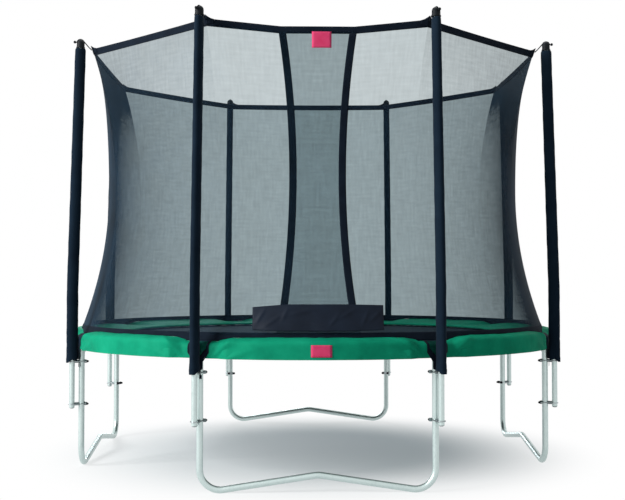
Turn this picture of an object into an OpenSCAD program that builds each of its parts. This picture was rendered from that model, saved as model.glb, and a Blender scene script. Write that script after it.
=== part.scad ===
// Round garden trampoline with a safety net on eight padded poles.
// Sizes are in millimetres and angles in degrees. The origin is on the ground at the centre,
// +Z is up and the entrance in the net faces -Y.

/* [Ring and legs] */
// Radius of the ring tube's centreline, which the leg uprights stand under
ring_r = 1630; // [1560:10:1700]
// Height of the ring tube's centreline
ring_z = 800; // [780:5:860]
// Outer diameter of the ring tube
ring_tube_d = 40; // [40:1:44]
// Outer diameter of the leg tubes
leg_tube_d = 38; // [34:1:38]
// Wall of the ring, leg and pole tubes
tube_wall = 1.5; // [1.2:0.1:2]
// Angle from the middle of a leg frame to each of its uprights
leg_half_angle = 24; // [22:0.5:25]
// Height of the joint between a leg base and its uprights
seam_z = 238; // [220:2:280]
// Bend radius of a leg base's two ground corners
corner_r = 115; // [90:5:125]
// Bend radius of a leg base's raised middle
apex_r = 150; // [100:10:200]
// Height of the tube's centreline at the raised middle
apex_z = 98; // [70:2:120]
// Depth of the flat where a ground corner rests
foot_flat = 0.5; // [0.3:0.1:1]
// Length of the reduced tube end inside a joint
spigot_len = 60; // [40:5:80]

/* [Poles and sleeves] */
// Outer diameter of a net pole
pole_d = 34; // [30:1:36]
// Height of a pole's lower end
pole_end_z = 384; // [340:2:385]
// Height at which a pole starts to lean inwards
kink_z = 1150; // [1000:10:1300]
// Inward lean of the upper pole
lean = 1.5; // [0.5:0.1:2]
// Height of a pole's upper end
pole_top_z = 2704; // [2600:2:2800]
// Size of a padded sleeve across the ring's radius
sleeve_deep = 74; // [70:1:80]
// Size of a padded sleeve along the ring
sleeve_wide = 51; // [50:1:60]
// How far a sleeve reaches below the middle of its upper clamp
sleeve_drop = 7; // [7:1:19]

/* [Clamps] */
// Height of the lower clamp on a pole
lower_clamp_z = 405; // [400:1:450]
// How far the upper clamp on a pole is below the ring's centreline
upper_clamp_drop = 125; // [120:1:128]
// Rod diameter of a U-bolt
bolt_d = 6; // [5:0.5:6]
// Thickness of a clamp's backing plate
plate_t = 3; // [2:0.5:4]
// Height of a clamp's saddle block
saddle_h = 18; // [16:1:28]
// Length of a nut cap
nut_cap_len = 18; // [16:1:28]

/* [Jumping mat and springs] */
// Number of springs
spring_count = 72; // [48:8:72]
// Length of a mounted spring from hook to hook
spring_len = 220; // [180:5:250]
// Outer diameter of a spring's coil
coil_d = 22; // [18:1:24]
// Diameter of the spring wire
wire_d = 3.4; // [3:0.1:3.8]
// Radius of the steel rings on the mat's edge
mat_ring_r = 14; // [13:0.5:16]
// Thickness of the mat's cloth
mat_t = 4; // [2:0.5:5]

/* [Pad] */
// Radius of the pad's inner edge
pad_in_r = 1290; // [1250:5:1310]
// Height of the pad's crest between two poles above the ring's centreline
pad_rise = 72; // [62:1:80]
// How far the yokes pull the crest down at a pole
pad_pull = 21; // [12:1:24]
// How far the skirt stands out between two poles
pad_flare = 27; // [10:1:35]
// How far the skirt hangs below the ring's centreline
skirt_drop = 45; // [35:1:60]
// Thickness of the skirt's coated cloth
skirt_t = 2.2; // [1.5:0.1:2.6]

/* [Net] */
// Radius of the net's corners at the waist
net_waist_r = 1418; // [1400:2:1460]
// Height of the net's waist
net_waist_z = 1790; // [1700:10:1900]
// Radius of the net's corners at the top
net_top_r = 1575; // [1540:5:1585]
// Height of the net's upper edge at a pole
net_top_z = 2690; // [2600:2:2700]
// Radius of the net's corners at the bottom
net_bottom_r = 1592; // [1580:1:1596]
// Thickness of the net's cloth
net_t = 1.5; // [1.2:0.1:2]
// Height of the top hem
hem_h = 42; // [30:1:50]
// How far the top hem dips at the entrance
hem_dip = 43; // [20:1:60]
// Half distance between the middles of the entrance bands at the net's waist
gate_waist = 141; // [120:1:160]
// Half distance between the middles of the entrance bands at the top
gate_top = 215; // [180:1:230]
// Width of an entrance band
band_w = 43; // [30:1:50]

/* [Entrance flap] */
// Width of the flap
flap_w = 736; // [600:2:780]
// Height of the flap from edge to edge
flap_h = 147; // [120:1:170]
// Height of the flap's lower edge above the pad's crest
flap_lift = 37; // [33:1:60]
// Gap between the flap and the outer entrance band
flap_gap = 3; // [2.5:0.5:10]

/* [Hidden] */
$fn = 48;
facing = 0.3;
lap = 2;
swell = 0.15;
joint_gap = 0.2;
pole_angles = [for (q = [0:3]) each [90*q - leg_half_angle, 90*q + leg_half_angle]];
side_names = ["front", "right", "back", "left"];

// heights that go up and down with the ring
upper_clamp_z = ring_z - upper_clamp_drop;
sleeve_z = upper_clamp_z - sleeve_drop;
skirt_z = ring_z - skirt_drop;
pad_z = ring_z + pad_rise;
flap_bottom = pad_z + flap_lift;
flap_top = flap_bottom + flap_h;

// legs
foot_z = leg_tube_d/2 - foot_flat;
base_half = ring_r*sin(leg_half_angle);
base_y = ring_r*cos(leg_half_angle);
corner_z = foot_z + corner_r;
foot_dx = base_half - corner_r;
rise = apex_z - foot_z;
bends = corner_r + apex_r;
slope = asin(bends/norm([foot_dx, bends - rise])) - atan((bends - rise)/foot_dx);
slope_len = (foot_dx - bends*sin(slope))/cos(slope);
shoulder_h = 6;
spigot_r = leg_tube_d/2 - tube_wall - joint_gap;
stub_z = ring_z - ring_tube_d/2 - 18;
screw_r = 2.5;
screw_len = 10;
screw_head_r = 5;
screw_head_h = 3;
screw_hole_r = screw_r + joint_gap;
stub_screw_z = stub_z - 25;

// ring
ring_out = ring_tube_d/2;
ring_bore = ring_out - tube_wall;
ring_spigot = ring_bore - joint_gap;
segment_angle = 45;
spigot_angle = spigot_len/ring_r*180/PI;

// mat and springs
spring_z = ring_z + ring_out;
hook_r = 6.5;
outer_hook_r = ring_r - 16;
inner_hook_r = outer_hook_r - spring_len;
ring_wire_d = 4;
mat_ring_at = inner_hook_r - 2 - mat_ring_r;
mat_r = mat_ring_at + 1;
mat_hem_w = 42;
mat_hem_t = 10;
slot_r = 4.5;
slot_at = ring_r - 9.7;
spring_step = 360/spring_count;
coil_in = inner_hook_r + hook_r - 1.5;
coil_out = outer_hook_r - hook_r + 1.5;

// pad: skirt, yoke and sleeve stack up outside the ring
pad_gap = 0.8;
yoke_t = 1.2;
skirt_at = ring_r + ring_out + pad_gap;
yoke_at = skirt_at + skirt_t + facing;
pole_r = yoke_at + yoke_t + facing + sleeve_deep/2;
under_z = spring_z + coil_d/2 + facing;
pad_edge_t = 14;
pull_near = 86;
pull_far = 230;

// clamps
bolt_r = leg_tube_d/2 + 0.4 + bolt_d/2;
saddle_half = 12;
plate_at = ring_r - leg_tube_d/2 - facing;
nut_h = 5;
bolt_end = plate_at - plate_t - nut_h - 4;
bolt_bend = pole_r + pole_d/2 + 0.1 - (bolt_r - bolt_d/2 - swell);
clamp_heights = [lower_clamp_z, upper_clamp_z];

// yokes: two arms over the pad join in a strap, and its tail goes down between saddle and U-bolt
yoke_half = 74;
arm_w = 20;
arm_end_z = pad_z - 86;
fork_half = 12;
fork_z = skirt_z + 13;
strap_half = 35;
strap_z = skirt_z - 20;
tail_z = upper_clamp_z + saddle_h/2 + 4;
tail_in = saddle_half + 1;
tail_out = bolt_r - bolt_d/2 - 0.9;
tip_z = upper_clamp_z - saddle_h/2 - 6;
tip_h = 20;
tip_in = tail_in - 3;
tip_out = tail_out + 7;

// sleeves and caps
elbow_r = 400;
pole_in = pole_r - (pole_top_z - kink_z)*tan(lean);
sleeve_top = pole_top_z - 18;
top_dist = (pole_top_z - kink_z)/cos(lean);
cap_r = 25;
cap_low = -16;
cap_mid = 16;
cap_slot_r = 21;
cord_d = 7;
ball_r = 9;
wrap_step = 26;

// net
hem_t = 4;
low_hem_h = 25;
panel_z = pad_z + 2 + low_hem_h + facing;
sheet_gap = 1.1;
panel_off = hem_t/2 + sheet_gap;
hem_lap = 14;
hem_near = 4;
band_t = 2;
band_at = panel_off + net_t + facing;
band_top = net_top_z - hem_dip - hem_h - hem_near;
flap_t = 2.5;
flap_at = band_at + band_t + flap_gap;
flap_end = 190;
flap_drop = 22;
flap_rise = 15;
flap_swing = 6;
columns = 8;
rows = 12;

// ---- shared shapes ----

// Section of a tube, or of a rod where the wall fills it
module tube2d(d, w) {
    difference() {
        circle(d = d);
        if (2*w < d) circle(d = d - 2*w);
    }
}

// Tube from the origin up +Z. Each move is [length, turn towards +X, bend radius].
// A bend is a hair thicker than the straights, which run a little way into it.
module pipe_run(moves, d, w, i = 0) {
    if (i < len(moves)) {
        length = moves[i][0];
        turn = moves[i][1];
        radius = moves[i][2];
        before = i > 0 ? lap : 0;
        after = turn != 0 ? lap : 0;
        side = turn > 0 ? 1 : -1;
        if (length > 0)
            translate([0, 0, -before]) linear_extrude(length + before + after) tube2d(d, w);
        translate([0, 0, length]) {
            if (turn != 0)
                translate([side*radius, 0, 0]) rotate([90, 0, 0]) rotate(side > 0 ? 180 - turn : 0)
                    rotate_extrude(angle = abs(turn)) translate([radius, 0]) tube2d(d + 2*swell, w + 2*swell);
            translate([side*radius, 0, 0]) rotate([0, turn, 0]) translate([-side*radius, 0, 0])
                pipe_run(moves, d, w, i + 1);
        }
    }
}

// Children at a distance from the centre, at an angle from -Y towards +X.
// Their own -Y points outwards.
module at_angle(angle, radius) {
    rotate(angle) translate([0, -radius, 0]) children();
}

// Children in every pole's frame, with the leg's axis at ring_r
module at_poles() {
    for (angle = pole_angles) rotate(angle) children();
}

// Children on the axis of a leaning upper pole, from the kink upwards
module on_lean() {
    translate([0, -pole_r, kink_z]) rotate([-lean, 0, 0]) children();
}

// Closed skin between a grid of points and a second grid of the same size
module skin(front, back) {
    r = len(front);
    c = len(front[0]);
    n = r*c;
    points = concat([for (row = front) each row], [for (row = back) each row]);
    faces = concat(
        [for (i = [0:r - 2], j = [0:c - 2]) each
            [[i*c + j, i*c + j + 1, (i + 1)*c + j + 1], [i*c + j, (i + 1)*c + j + 1, (i + 1)*c + j]]],
        [for (i = [0:r - 2], j = [0:c - 2]) each
            [[n + i*c + j, n + (i + 1)*c + j + 1, n + i*c + j + 1],
             [n + i*c + j, n + (i + 1)*c + j, n + (i + 1)*c + j + 1]]],
        [for (j = [0:c - 2]) each [[j + 1, j, n + j], [j + 1, n + j, n + j + 1]]],
        [for (j = [0:c - 2]) let(k = (r - 1)*c + j) each [[k, k + 1, n + k + 1], [k, n + k + 1, n + k]]],
        [for (i = [0:r - 2]) let(k = i*c) each [[k, k + c, n + k + c], [k, n + k + c, n + k]]],
        [for (i = [0:r - 2]) let(k = i*c + c - 1) each [[k + c, k, n + k], [k + c, n + k, n + k + c]]]);
    polyhedron(points, faces);
}

// Closed surface through a stack of rings of points, each ring the same length
module stack(rings, closed = false) {
    r = len(rings);
    c = len(rings[0]);
    points = [for (ring = rings) each ring];
    last = closed ? r - 1 : r - 2;
    sides = [for (i = [0:last], j = [0:c - 1])
        let(k = (i + 1)%r, m = (j + 1)%c) each
        [[i*c + j, k*c + j, k*c + m], [i*c + j, k*c + m, i*c + m]]];
    caps = closed ? [] : [[for (j = [0:c - 1]) j], [for (j = [c - 1:-1:0]) (r - 1)*c + j]];
    polyhedron(points, concat(sides, caps));
}

// A point moved straight away from the Z axis
function push(p, d) = let(s = 1 + d/norm([p.x, p.y])) [p.x*s, p.y*s, p.z];

// ---- legs ----

module stub_end() {
    outer = leg_tube_d/2;
    top = seam_z - corner_z;
    rotate_extrude() polygon([
        [outer - tube_wall, -lap], [outer, -lap], [outer, top], [spigot_r, top],
        [spigot_r, top + spigot_len], [spigot_r - tube_wall, top + spigot_len],
        [spigot_r - tube_wall, top - shoulder_h], [outer - tube_wall, top - shoulder_h]]);
}

module leg_base(q) {
    color("lightgray") rotate(90*q) translate([0, -base_y, 0]) difference() {
        union() {
            translate([-base_half, 0, corner_z]) rotate([180, 0, 0]) pipe_run([
                [0, 90 + slope, corner_r],
                [slope_len, -2*slope, apex_r],
                [slope_len, 90 + slope, corner_r]], leg_tube_d, tube_wall);
            for (side = [-1, 1]) translate([side*base_half, 0, corner_z]) stub_end();
        }
        translate([-ring_r, -leg_tube_d, -leg_tube_d]) cube([2*ring_r, 2*leg_tube_d, leg_tube_d]);
    }
}

module leg_uprights(q) {
    color("silver") for (side = [-1, 1]) at_angle(90*q + side*leg_half_angle, ring_r) difference() {
        translate([0, 0, seam_z]) linear_extrude(stub_z - seam_z) tube2d(leg_tube_d, tube_wall);
        translate([0, 0, stub_screw_z]) rotate([-90, 0, 0]) cylinder(r = screw_hole_r, h = leg_tube_d);
    }
}

// ---- top ring ----

// Welded stub under the ring, reduced at its lower end to fit inside an upright
module ring_stub() {
    translate([0, 0, stub_z]) cylinder(d = leg_tube_d, h = ring_z - ring_bore/2 - stub_z);
    translate([0, 0, stub_z - spigot_len]) cylinder(r = spigot_r, h = spigot_len + lap);
}

module ring_segment(i) {
    start = segment_angle*i;
    stub = pole_angles[(i + 1)%8] + (i == 7 ? 360 : 0);
    color("lightgray") difference() {
        union() {
            translate([0, 0, ring_z]) rotate(start - 90) {
                rotate_extrude(angle = segment_angle) translate([ring_r, 0]) circle(r = ring_out);
                rotate(segment_angle - 0.1) rotate_extrude(angle = spigot_angle + 0.1)
                    translate([ring_r, 0]) tube2d(2*ring_spigot, tube_wall);
            }
            at_angle(stub, ring_r) ring_stub();
        }
        translate([0, 0, ring_z]) rotate(start - 90) {
            rotate(-0.1) rotate_extrude(angle = segment_angle - 0.3)
                translate([ring_r, 0]) circle(r = ring_bore);
            rotate(segment_angle - 0.3) rotate_extrude(angle = spigot_angle + 0.5)
                translate([ring_r, 0]) circle(r = ring_spigot - 1.1*tube_wall);
        }
        at_angle(stub, ring_r) translate([0, 0, stub_z - spigot_len - 1])
            cylinder(r = spigot_r - tube_wall, h = spigot_len + 12);
        at_angle(stub, ring_r) translate([0, 0, stub_screw_z]) rotate([-90, 0, 0])
            cylinder(r = screw_hole_r, h = leg_tube_d);
        for (angle = [start, start + segment_angle])
            at_angle(angle + spigot_angle/2, ring_r) translate([0, 0, ring_z - 2*ring_out])
                cylinder(r = screw_hole_r, h = 1.5*ring_out);
        for (k = [0:spring_count - 1])
            let(angle = spring_step*(k + 0.5))
            if (angle > start && angle < start + segment_angle)
                at_angle(angle, slot_at) translate([0, 0, ring_z + ring_out/3])
                    cylinder(r = slot_r, h = ring_out);
    }
}

// Pan-head screw along +Z with its head below the origin
module screw() {
    rotate_extrude() polygon([
        [0, screw_len], [screw_r, screw_len], [screw_r, 0], [screw_head_r, 0], [screw_head_r, -screw_head_h/2],
        [0.7*screw_head_r, -screw_head_h], [0, -screw_head_h]]);
}

module frame_screws() {
    color("dimgray") {
        for (i = [0:7])
            at_angle(segment_angle*i + spigot_angle/2, ring_r)
                translate([0, 0, ring_z - ring_out - 0.05]) screw();
        at_poles() translate([0, -ring_r + leg_tube_d/2 + 0.05, stub_screw_z]) rotate([90, 0, 0]) screw();
    }
}

// ---- poles ----

module pole(i) {
    tangent = elbow_r*tan(lean/2);
    color("gainsboro") rotate(pole_angles[i]) translate([0, -pole_r, pole_end_z]) rotate(90)
        pipe_run([
            [kink_z - tangent - pole_end_z, lean, elbow_r],
            [top_dist - tangent, 0, elbow_r]], pole_d, tube_wall);
}

module pole_plugs() {
    color("whitesmoke") at_poles() translate([0, -pole_r, pole_end_z]) rotate_extrude() polygon([
        [0, -9], [8, -8], [14, -5], [pole_d/2, 0], [pole_d/2 - tube_wall - joint_gap, 0],
        [pole_d/2 - tube_wall - joint_gap, 14], [0, 14]]);
}

// Centreline of a pole as a distance from the middle, by height
function pole_at(z) = pole_r - max(0, z - kink_z)*tan(lean);

// Oval ring of a sleeve: height, size across and size along the ring
function oval(z, deep, wide) = [for (k = [0:15])
    [wide/2*cos(22.5*k), -pole_at(z) + deep/2*sin(22.5*k), z]];

module pole_sleeve(i) {
    skirt_w = 2*(bolt_r + bolt_d/2 + swell + 3);
    room = upper_clamp_z + max(saddle_h/2, bolt_d) + 2;
    bore_r = pole_d/2 + swell + facing;
    color("#243040") rotate(pole_angles[i]) difference() {
        stack([
            oval(sleeve_z, sleeve_deep, skirt_w),
            oval(room + 4, sleeve_deep, skirt_w),
            oval(room + 50, sleeve_deep, sleeve_wide),
            oval(kink_z, sleeve_deep, sleeve_wide),
            oval((kink_z + sleeve_top)/2, sleeve_deep - 2, sleeve_wide - 1),
            oval(sleeve_top - 16, sleeve_deep - 4, sleeve_wide - 2),
            oval(sleeve_top, sleeve_deep - 14, sleeve_wide - 8)]);
        translate([-skirt_w/2 + 2.6, -pole_r - bolt_r - bolt_d/2 - 0.5, sleeve_z - 1])
            cube([skirt_w - 5.2, sleeve_deep, room - sleeve_z + 1]);
        translate([0, -pole_r, room - 1]) cylinder(r = bore_r, h = kink_z - room);
        translate([0, -pole_r, kink_z - 20]) cylinder(r = bore_r + 2.5, h = 40);
        on_lean() cylinder(r = bore_r, h = top_dist + 10);
    }
}

// Cap with a collar and a dome, slotted along the radius for the elastic
module pole_caps() {
    color("#15181b") at_poles() on_lean() translate([0, 0, top_dist]) difference() {
        union() {
            translate([0, 0, cap_low]) cylinder(r = cap_r + 3, h = 6);
            translate([0, 0, cap_low]) rotate_extrude() union() {
                square([cap_r, cap_mid - cap_low]);
                translate([0, cap_mid - cap_low]) intersection() {
                    circle(r = cap_r);
                    square(cap_r + 1);
                }
            }
        }
        translate([0, 0, cap_low - 1]) cylinder(r = pole_d/2 + facing, h = 1 - cap_low + facing);
        translate([0, 0, cap_mid]) difference() {
            translate([-cord_d/2 - 1, -cap_r - 5, 0]) cube([cord_d + 2, 2*cap_r + 10, cap_r + 5]);
            rotate([0, 90, 0]) cylinder(r = cap_slot_r, h = 4*cord_d, center = true);
        }
    }
}

// Dome centre in the pole's own upright plane, as [distance from the middle, height]
dome_at = [pole_in - cap_mid*sin(lean), pole_top_z + cap_mid*cos(lean)];
wrap_r = (cap_slot_r + facing)/cos(wrap_step/2) + cord_d/2;
ball_at = [dome_at.x + wrap_r + 12, dome_at.y + 4];
corner_at = [net_top_r + cord_d/2 + facing, net_top_z - 8];

// Route of an elastic: from its ball over the dome and down to the net's corner
cord_route = concat(
    [[ball_at.x - facing, ball_at.y], [ball_at.x - ball_r - 4, ball_at.y]],
    [for (a = [25:wrap_step:155]) [dome_at.x + wrap_r*cos(a), dome_at.y + wrap_r*sin(a)]],
    [[(dome_at.x - wrap_r + corner_at.x)/2 - 2, (dome_at.y + corner_at.y)/2], corner_at]);

// Ring of points round a route point, square to the route, in an upright plane
function cord_ring(path, i, d) =
    let(a = path[max(0, i - 1)], b = path[min(len(path) - 1, i + 1)], t = (b - a)/norm(b - a))
    [for (k = [0:7]) let(u = d/2*cos(45*k), w = d/2*sin(45*k))
        [w, -(path[i].x - t.y*u), path[i].y + t.x*u]];

module cap_elastics() {
    color("#1b1d20") at_poles() stack([for (i = [0:len(cord_route) - 1]) cord_ring(cord_route, i, cord_d)]);
}

module elastic_balls() {
    color("#1b1d20") at_poles() translate([0, -ball_at.x, ball_at.y]) difference() {
        sphere(r = ball_r);
        rotate([-90, 0, 0]) cylinder(r = cord_d/2 + joint_gap, h = ball_r + 1);
    }
}

// ---- clamps ----

module at_clamps() {
    at_poles() for (z = clamp_heights) translate([0, 0, z]) children();
}

module u_bolts() {
    color("#9aa5a8") at_clamps() translate([-bolt_r, -bolt_end, 0]) rotate([90, 0, 0])
        pipe_run([[bolt_bend - bolt_end, 180, bolt_r], [bolt_bend - bolt_end, 0, 0]], bolt_d, bolt_d);
}

module clamp_saddles() {
    inner = ring_r + 10;
    outer = pole_r - 8;
    color("#7d8a8c") at_clamps() difference() {
        translate([-saddle_half, -outer, -saddle_h/2]) cube([2*saddle_half, outer - inner, saddle_h]);
        translate([0, -ring_r, -saddle_h]) cylinder(r = leg_tube_d/2 + 0.05, h = 2*saddle_h);
        translate([0, -pole_r, -saddle_h]) cylinder(r = pole_d/2 + 0.05, h = 2*saddle_h);
    }
}

module clamp_plates() {
    half = bolt_r + 8;
    tall = 10;
    color("silver") at_clamps() translate([0, -plate_at, 0]) rotate([-90, 0, 0]) linear_extrude(plate_t)
        difference() {
            polygon([[-half, -tall/2], [-half + 5, -tall], [half - 5, -tall], [half, -tall/2],
                     [half, tall/2], [half - 5, tall], [-half + 5, tall], [-half, tall/2]]);
            for (side = [-1, 1]) translate([side*bolt_r, 0]) circle(r = bolt_d/2 + facing);
        }
}

// Children on each bolt end, +Z pointing inwards from the plate's face
module at_nuts() {
    at_clamps() for (side = [-1, 1])
        translate([side*bolt_r, -plate_at + plate_t, 0]) rotate([-90, 0, 0]) children();
}

module clamp_nuts() {
    color("silver") at_nuts() translate([0, 0, 0.05]) difference() {
        cylinder(r = bolt_d*0.95, h = nut_h, $fn = 6);
        translate([0, 0, -1]) cylinder(r = bolt_d/2 + 0.1, h = nut_h + 2);
    }
}

module nut_caps() {
    outer = bolt_d*0.95 + 2.8;
    color("#2b3133") at_nuts() rotate_extrude() polygon([
        [bolt_d*0.95 + 0.4, 0], [outer + 1, 0], [outer + 1, 3], [outer, 4], [outer - 0.8, nut_cap_len*0.55],
        [outer - 3, nut_cap_len*0.85], [2, nut_cap_len], [0, nut_cap_len], [0, nut_h + 6],
        [bolt_d/2 + 0.5, nut_h + 6], [bolt_d/2 + 0.5, nut_h + 0.6], [bolt_d*0.95 + 0.4, nut_h + 0.6]]);
}

// ---- mat and springs ----

module at_springs() {
    for (k = [0:spring_count - 1]) rotate(spring_step*(k + 0.5)) translate([0, 0, spring_z]) children();
}

module mat() {
    color("#26303a") translate([0, 0, spring_z]) rotate_extrude() polygon([
        [0, -mat_t/2], [mat_r - mat_hem_w, -mat_t/2], [mat_r - mat_hem_w, -mat_hem_t/2],
        [mat_r, -mat_hem_t/2], [mat_r, mat_hem_t/2], [mat_r - mat_hem_w, mat_hem_t/2],
        [mat_r - mat_hem_w, mat_t/2], [0, mat_t/2]]);
}

module mat_rings() {
    color("silver") at_springs() translate([0, -mat_ring_at, 0])
        rotate_extrude() translate([mat_ring_r, 0]) circle(d = ring_wire_d);
}

// Coil as its plain tube, with a wire across each end that carries the hook
module spring() {
    translate([0, -coil_in, 0]) rotate([90, 0, 0]) linear_extrude(coil_out - coil_in) tube2d(coil_d, wire_d);
    for (end = [inner_hook_r + hook_r, outer_hook_r - hook_r])
        translate([0, -end, 0]) rotate([0, 90, 0])
            cylinder(d = wire_d + 0.4, h = coil_d - wire_d, center = true);
    translate([0, -inner_hook_r, 0]) rotate([0, -90, 0]) rotate(-100) rotate_extrude(angle = 300)
        translate([hook_r, 0]) circle(d = wire_d);
    translate([0, -outer_hook_r, 0]) rotate([0, -90, 0]) rotate(-130) rotate_extrude(angle = 230)
        translate([hook_r, 0]) circle(d = wire_d);
}

module springs() {
    color("#a9b4b6") at_springs() spring();
}

// ---- pad ----

// Pull of the yokes on the pad: 1 at a pole, 0 away from it, by the angle from the pole
function pull(angle) = let(d = abs(angle)*PI/180*ring_r)
    d < pull_near ? 1 : d > pull_far ? 0 : (1 + cos(180*(d - pull_near)/(pull_far - pull_near)))/2;

// Section of the pad as [radius, height], from the inner edge over the crest to the skirt
function pad_section(k) =
    let(face = skirt_at + skirt_t + pad_flare*(1 - k), crest = pad_z - pad_pull*k,
        edge = under_z + pad_edge_t, bend = lookup(crest - under_z, pad_shoulder))
    [[pad_in_r, under_z], [pad_in_r + 3, edge], [pad_in_r + 110, edge + 0.55*(crest - edge)],
     [face - 135, crest - 2], [face - 72, crest], [face - 24, crest - 9], [face - 5, crest - 22],
     [face, crest - 40], [face, skirt_z], [face - skirt_t, skirt_z], [face - skirt_t, ring_z + 0.3*ring_out],
     [face - skirt_t - 0.425*ring_out*k, ring_z + 0.9*ring_out], [face - skirt_t - 2 - bend, under_z]];

// How far the shoulder has come in, by the depth below the crest
pad_shoulder = [[0, 72], [9, 24], [22, 5], [40, 0]];

pad_steps = [0, 1.5, 3, 5.5, 10, 17];
last_step = len(pad_steps) - 1;

// Angles round the pad, close together at the poles
pad_angles = [for (i = [0:7]) let(a = pole_angles[i], b = i < 7 ? pole_angles[i + 1] : pole_angles[0] + 360)
    each concat([for (s = pad_steps) a + s], [(a + b)/2], [for (k = [last_step:-1:1]) b - pad_steps[k]])];

function pole_gap(angle) = min([for (p = pole_angles) let(d = abs(angle - p)%360) min(d, 360 - d)]);

module pad() {
    color("#12986f") stack([for (a = pad_angles)
        [for (p = pad_section(pull(pole_gap(a)))) [p.x*sin(a), -p.x*cos(a), p.y]]], closed = true);
}

// Line of a yoke's cloth over the pulled-in pad, offset by d
function yoke_line(d) = let(face = skirt_at + skirt_t, crest = pad_z - pad_pull)
    [[face + d, lower_clamp_z], [face + d, crest - 40], [face - 5 + 0.9*d, crest - 22 + 0.5*d],
     [face - 24 + 0.6*d, crest - 9 + d], [face - 66, crest + d]];

module pad_yokes() {
    under = yoke_line(facing);
    over = yoke_line(facing + yoke_t);
    last = len(over) - 1;
    top = pad_z + 20;
    arm_in = yoke_half - arm_w;
    reach = 150;
    color("#14181e") at_poles() intersection() {
        rotate(-100) rotate_extrude(angle = 20, $fn = 720)
            polygon(concat(over, [for (k = [last:-1:0]) under[k]]));
        translate([0, -ring_r + reach, 0]) rotate([90, 0, 0]) linear_extrude(2*reach) difference() {
            polygon([[-yoke_half, top], [-yoke_half, arm_end_z], [-strap_half, strap_z],
                     [-strap_half, tail_z + 8], [-tail_out, tail_z], [tail_in, tail_z], [tail_in, tip_z + 3],
                     [tip_in, tip_z], [tip_in, tip_z - tip_h], [tip_out, tip_z - tip_h], [tip_out, tip_z],
                     [tail_out, tip_z + 3], [tail_out, tail_z], [strap_half, tail_z + 8],
                     [strap_half, strap_z], [yoke_half, arm_end_z], [yoke_half, top]]);
            polygon([[-arm_in, top + 1], [-arm_in, fork_z + 44], [-fork_half, fork_z], [fork_half, fork_z],
                     [arm_in, fork_z + 44], [arm_in, top + 1]]);
        }
    }
}

// ---- net ----

// Height above the net's waist as a share of the way to its upper edge
function net_rise(z) = (z - net_waist_z)/(net_top_z - net_waist_z);

// Radius of the net's corners by height: a waist between a wider top and bottom
function net_r(z) = z > net_waist_z
    ? net_waist_r + (net_top_r - net_waist_r)*pow(net_rise(z), 2)
    : net_waist_r + (net_bottom_r - net_waist_r)*pow((net_waist_z - z)/(net_waist_z - pad_z), 2);

// Point of a panel between two corners 2*half apart: u runs from -1 to 1. The net is round up to
// its waist and gets flatter from there to its upper edge, which runs straight between two corners.
function net_point(half, u, z) =
    let(r = net_r(z), bow = z > net_waist_z ? 1 - pow(net_rise(z), 2) : 1)
    [r*sin(half)*u, -r*(cos(half) + (1 - cos(half))*bow*(1 - u*u)), z];

// Lower edge of the bottom hem, just clear of the pad. Its upper edge stays level.
function net_low(half, u) = pad_z + 2 - pad_pull*pull(half*(1 - abs(u)));

// Upper edge: dips to the entrance bands in front, level elsewhere
function net_high(gate, u) = gate
    ? net_top_z - hem_dip*min(1, (1 - abs(u))/(1 - gate_u))
    : net_top_z;

function spread(a, b, n) = [for (i = [0:n]) a + (b - a)*i/n];

// Strip or sheet between two heights given by edge(u), from u0 to u1, t thick and moved out by d
module cloth(front_points, d, t) {
    skin([for (row = front_points) [for (p = row) push(p, d + t)]],
         [for (row = front_points) [for (p = row) push(p, d)]]);
}

// Half angle and middle angle of each side of the net, starting at the front
function side_half(i) = i%2 == 0 ? leg_half_angle : 45 - leg_half_angle;

module on_side(i) {
    rotate(45*i) children();
}

module net_panel(i) {
    half = side_half(i);
    top = net_top_z - hem_h - facing;
    color("#5b6b78", 0.6) on_side(i) cloth([for (v = spread(0, 1, rows))
        [for (u = spread(-1, 1, columns)) net_point(half, u, panel_z + (top - panel_z)*v)]], 0, net_t);
}

// Half distance between the middles of the entrance bands by height
function gate_x(z) = gate_waist + (gate_top - gate_waist)*pow(net_rise(z), 2);

// Columns of one entrance panel at a height, from its corner to the far edge of the far band.
// Both panels and both bands share them, so that the layers stay parallel.
function gate_columns(side, z) =
    let(full = net_r(z)*sin(leg_half_angle),
        inner = (gate_x(z) - band_w/2)/full, outer = (gate_x(z) + band_w/2)/full)
    side < 0
        ? concat(spread(-1, -outer, 4), [-inner, 0, inner, outer])
        : concat([-outer, -inner, 0, inner], spread(outer, 1, 4));

// Grid of one entrance panel. Its last row laps over the top hem.
function gate_grid(side) =
    [for (v = concat(spread(0, 1, rows - 1), [1 + (hem_near + hem_lap)/(band_top - panel_z)]))
        [for (u = gate_columns(side, panel_z + (band_top - panel_z)*v))
            let(top = net_high(true, u) - hem_h - hem_near)
            net_point(leg_half_angle, u, panel_z + (top - panel_z)*v)]];

module entrance_panel_left() {
    color("#5b6b78", 0.6) cloth(gate_grid(-1), panel_off, net_t);
}

module entrance_panel_right() {
    color("#5b6b78", 0.6) cloth(gate_grid(1), -panel_off - net_t, net_t);
}

// Two columns of a panel's grid, below the top hem
function band_grid(side, column) = let(grid = gate_grid(side))
    [for (k = [0:rows - 1]) [grid[k][column], grid[k][column + 1]]];

// Each panel has its band sewn on the outside of its free edge
module entrance_bands() {
    color("#1c2630") {
        cloth(band_grid(-1, 7), band_at, band_t);
        cloth(band_grid(1, 0), facing - panel_off, band_t);
    }
}

// Four edges of a hem at a place on a side, between two heights
function hem_section(i, u, low, high) =
    let(half = side_half(i), a = net_point(half, u, low), b = net_point(half, u, high))
    [for (p = [push(a, -hem_t/2), push(a, hem_t/2), push(b, hem_t/2), push(b, -hem_t/2)]) turned(p, 45*i)];

function turned(p, a) = [p.x*cos(a) - p.y*sin(a), p.x*sin(a) + p.y*cos(a), p.z];

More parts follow.
